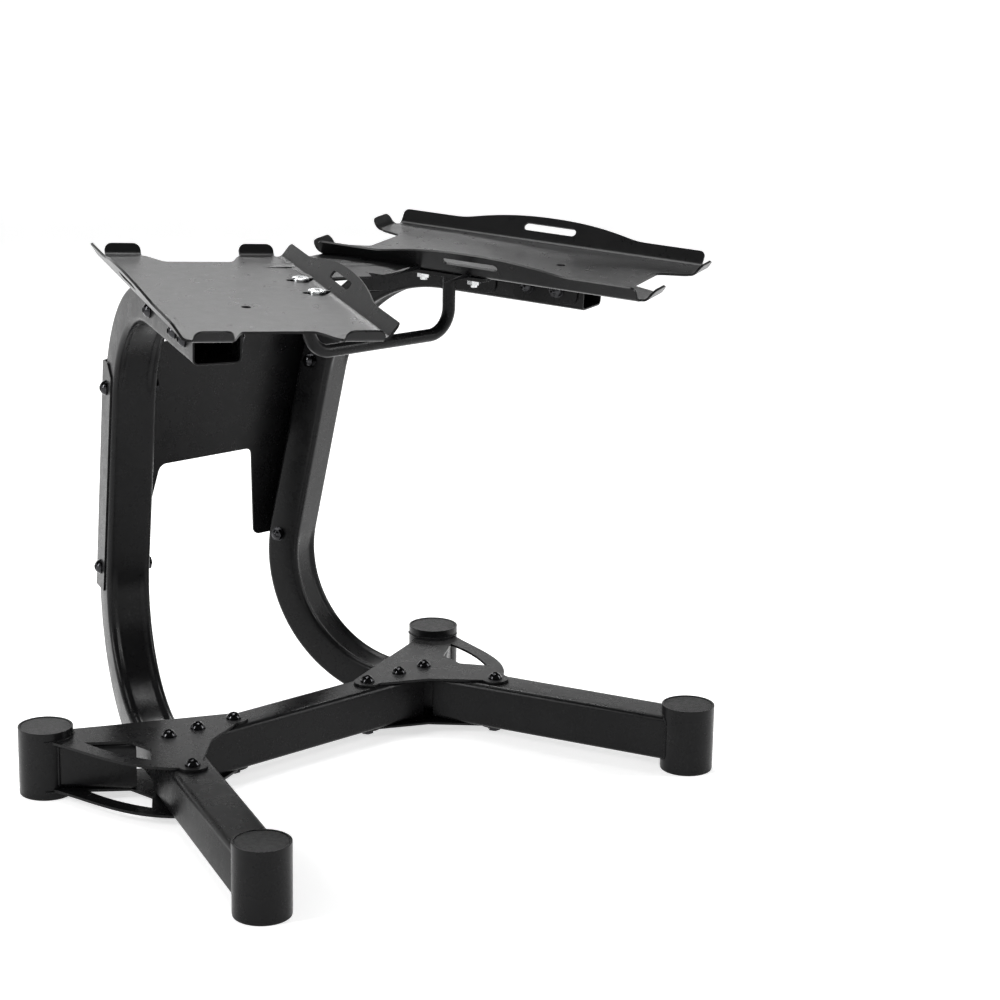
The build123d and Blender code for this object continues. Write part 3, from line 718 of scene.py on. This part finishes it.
def weld_bead(bm, path, radius, closed):
    """A weld bead under its coat of paint: a thin rope with a low ripple along it."""
    points = []
    loop = path + path[:1] if closed else path
    for here, there in zip(loop, loop[1:]):
        pieces = max(1, round((there - here).length / weld_step))
        points += [here.lerp(there, k / pieces) for k in range(pieces)]
    if not closed:
        points.append(path[-1])
    radii, travelled = [], 0.0
    for i, point in enumerate(points):
        travelled += (point - points[i - 1]).length if i else 0.0
        ripple = sin(2 * pi * travelled / weld_ripple_pitch)
        radii.append(radius * (1 + weld_ripple * ripple + weld_unevenness * noise.noise(point * 180)))
    tube_along(bm, points, radii, closed, 10)


def rounded_outline(half_w, half_h, corner):
    """Points round a rectangle with rounded corners."""
    points = []
    for cx, cy, start in ((1, 1, 0), (-1, 1, 90), (-1, -1, 180), (1, -1, 270)):
        for i in range(7):
            a = radians(start + 15 * i)
            x, y = cx * (half_w - corner) + corner * cos(a), cy * (half_h - corner) + corner * sin(a)
            points.append((x, y))
    return points


def tube_on_post(post, away, width):
    """The line where a base tube meets a post: away points from the post along the tube."""
    across = up.cross(away)
    middle, half_h = (base_low + base_high) / 2, (base_high - base_low) / 2
    path = []
    for x, z in rounded_outline(width / 2, half_h, base_corner):
        path.append(post + away * sqrt(post_r**2 - x**2) + across * x + up * (middle + z))
    return path


def plate_on_post(post, away, height, spread):
    """The arc where a gusset plate meets a post, at a height."""
    facing = atan2(away.y, away.x)
    turns = [facing + spread * (i / 24 - 0.5) for i in range(25)]
    return [post + Vector((cos(a), sin(a), 0)) * post_r + up * height for a in turns]


def make_welds(side):
    """The weld beads of one side."""
    bm = bmesh.new()
    to_node = (node - rear_post).normalized()
    weld_bead(bm, tube_on_post(front_post, -forward, leg_w), tube_weld_r, True)
    weld_bead(bm, tube_on_post(rear_post, to_node, stub_w), tube_weld_r, True)
    for height in (base_high + gusset_t, base_low - gusset_t):
        weld_bead(bm, plate_on_post(rear_post, to_node, height, plate_weld_turn), plate_weld_r, False)
    bar_top = tray_point(tab_u, tab_v, -tray_t - tab_t)
    turns = [2 * pi * i / 32 for i in range(32)]
    ring = [bar_top + Vector((cos(a), sin(a), 0)) * link_bar_r for a in turns]
    weld_bead(bm, ring, bar_weld_r, True)
    if sides[side] < 0:
        mirrored(bm)
    bmesh.ops.recalc_face_normals(bm, faces=bm.faces)
    add_piece(bm, f"welds_{side}", "frame_coat", smooth_angle=80)


# ---------------------------------------------------------------------------------------------------------
# Plates and tubes: the CAD shapes with their edges rounded; caps and fasteners: the CAD shapes as they are
# ---------------------------------------------------------------------------------------------------------

make_camera()
make_light()
make_floor()

for side in sides:
    make_upright(side)
    make_tray(side)
    make_welds(side)
    for name in ("gusset_top", "gusset_bottom"):
        rounded_copy(f"{name}_{side}", "plate", 0.7 * mm)
    for name in ("front_leg", "rear_stub", "front_post", "rear_post"):
        rounded_copy(f"{name}_{side}", "tube", 0.5 * mm)
    rounded_copy(f"tray_bracket_{side}", "plate", 0.9 * mm, 3)
    rounded_copy(f"link_tab_{side}", "plate", 0.6 * mm)
make_link_bar()
rounded_copy("back_shield", "panel", 0.8 * mm, 3)
rounded_copy("base_crossbar", "tube", 0.5 * mm)

for name, part in nodes.items():
    for index in range(len(part.data.materials)):
        part.material_slots[index].material = materials[slot_of[name]]
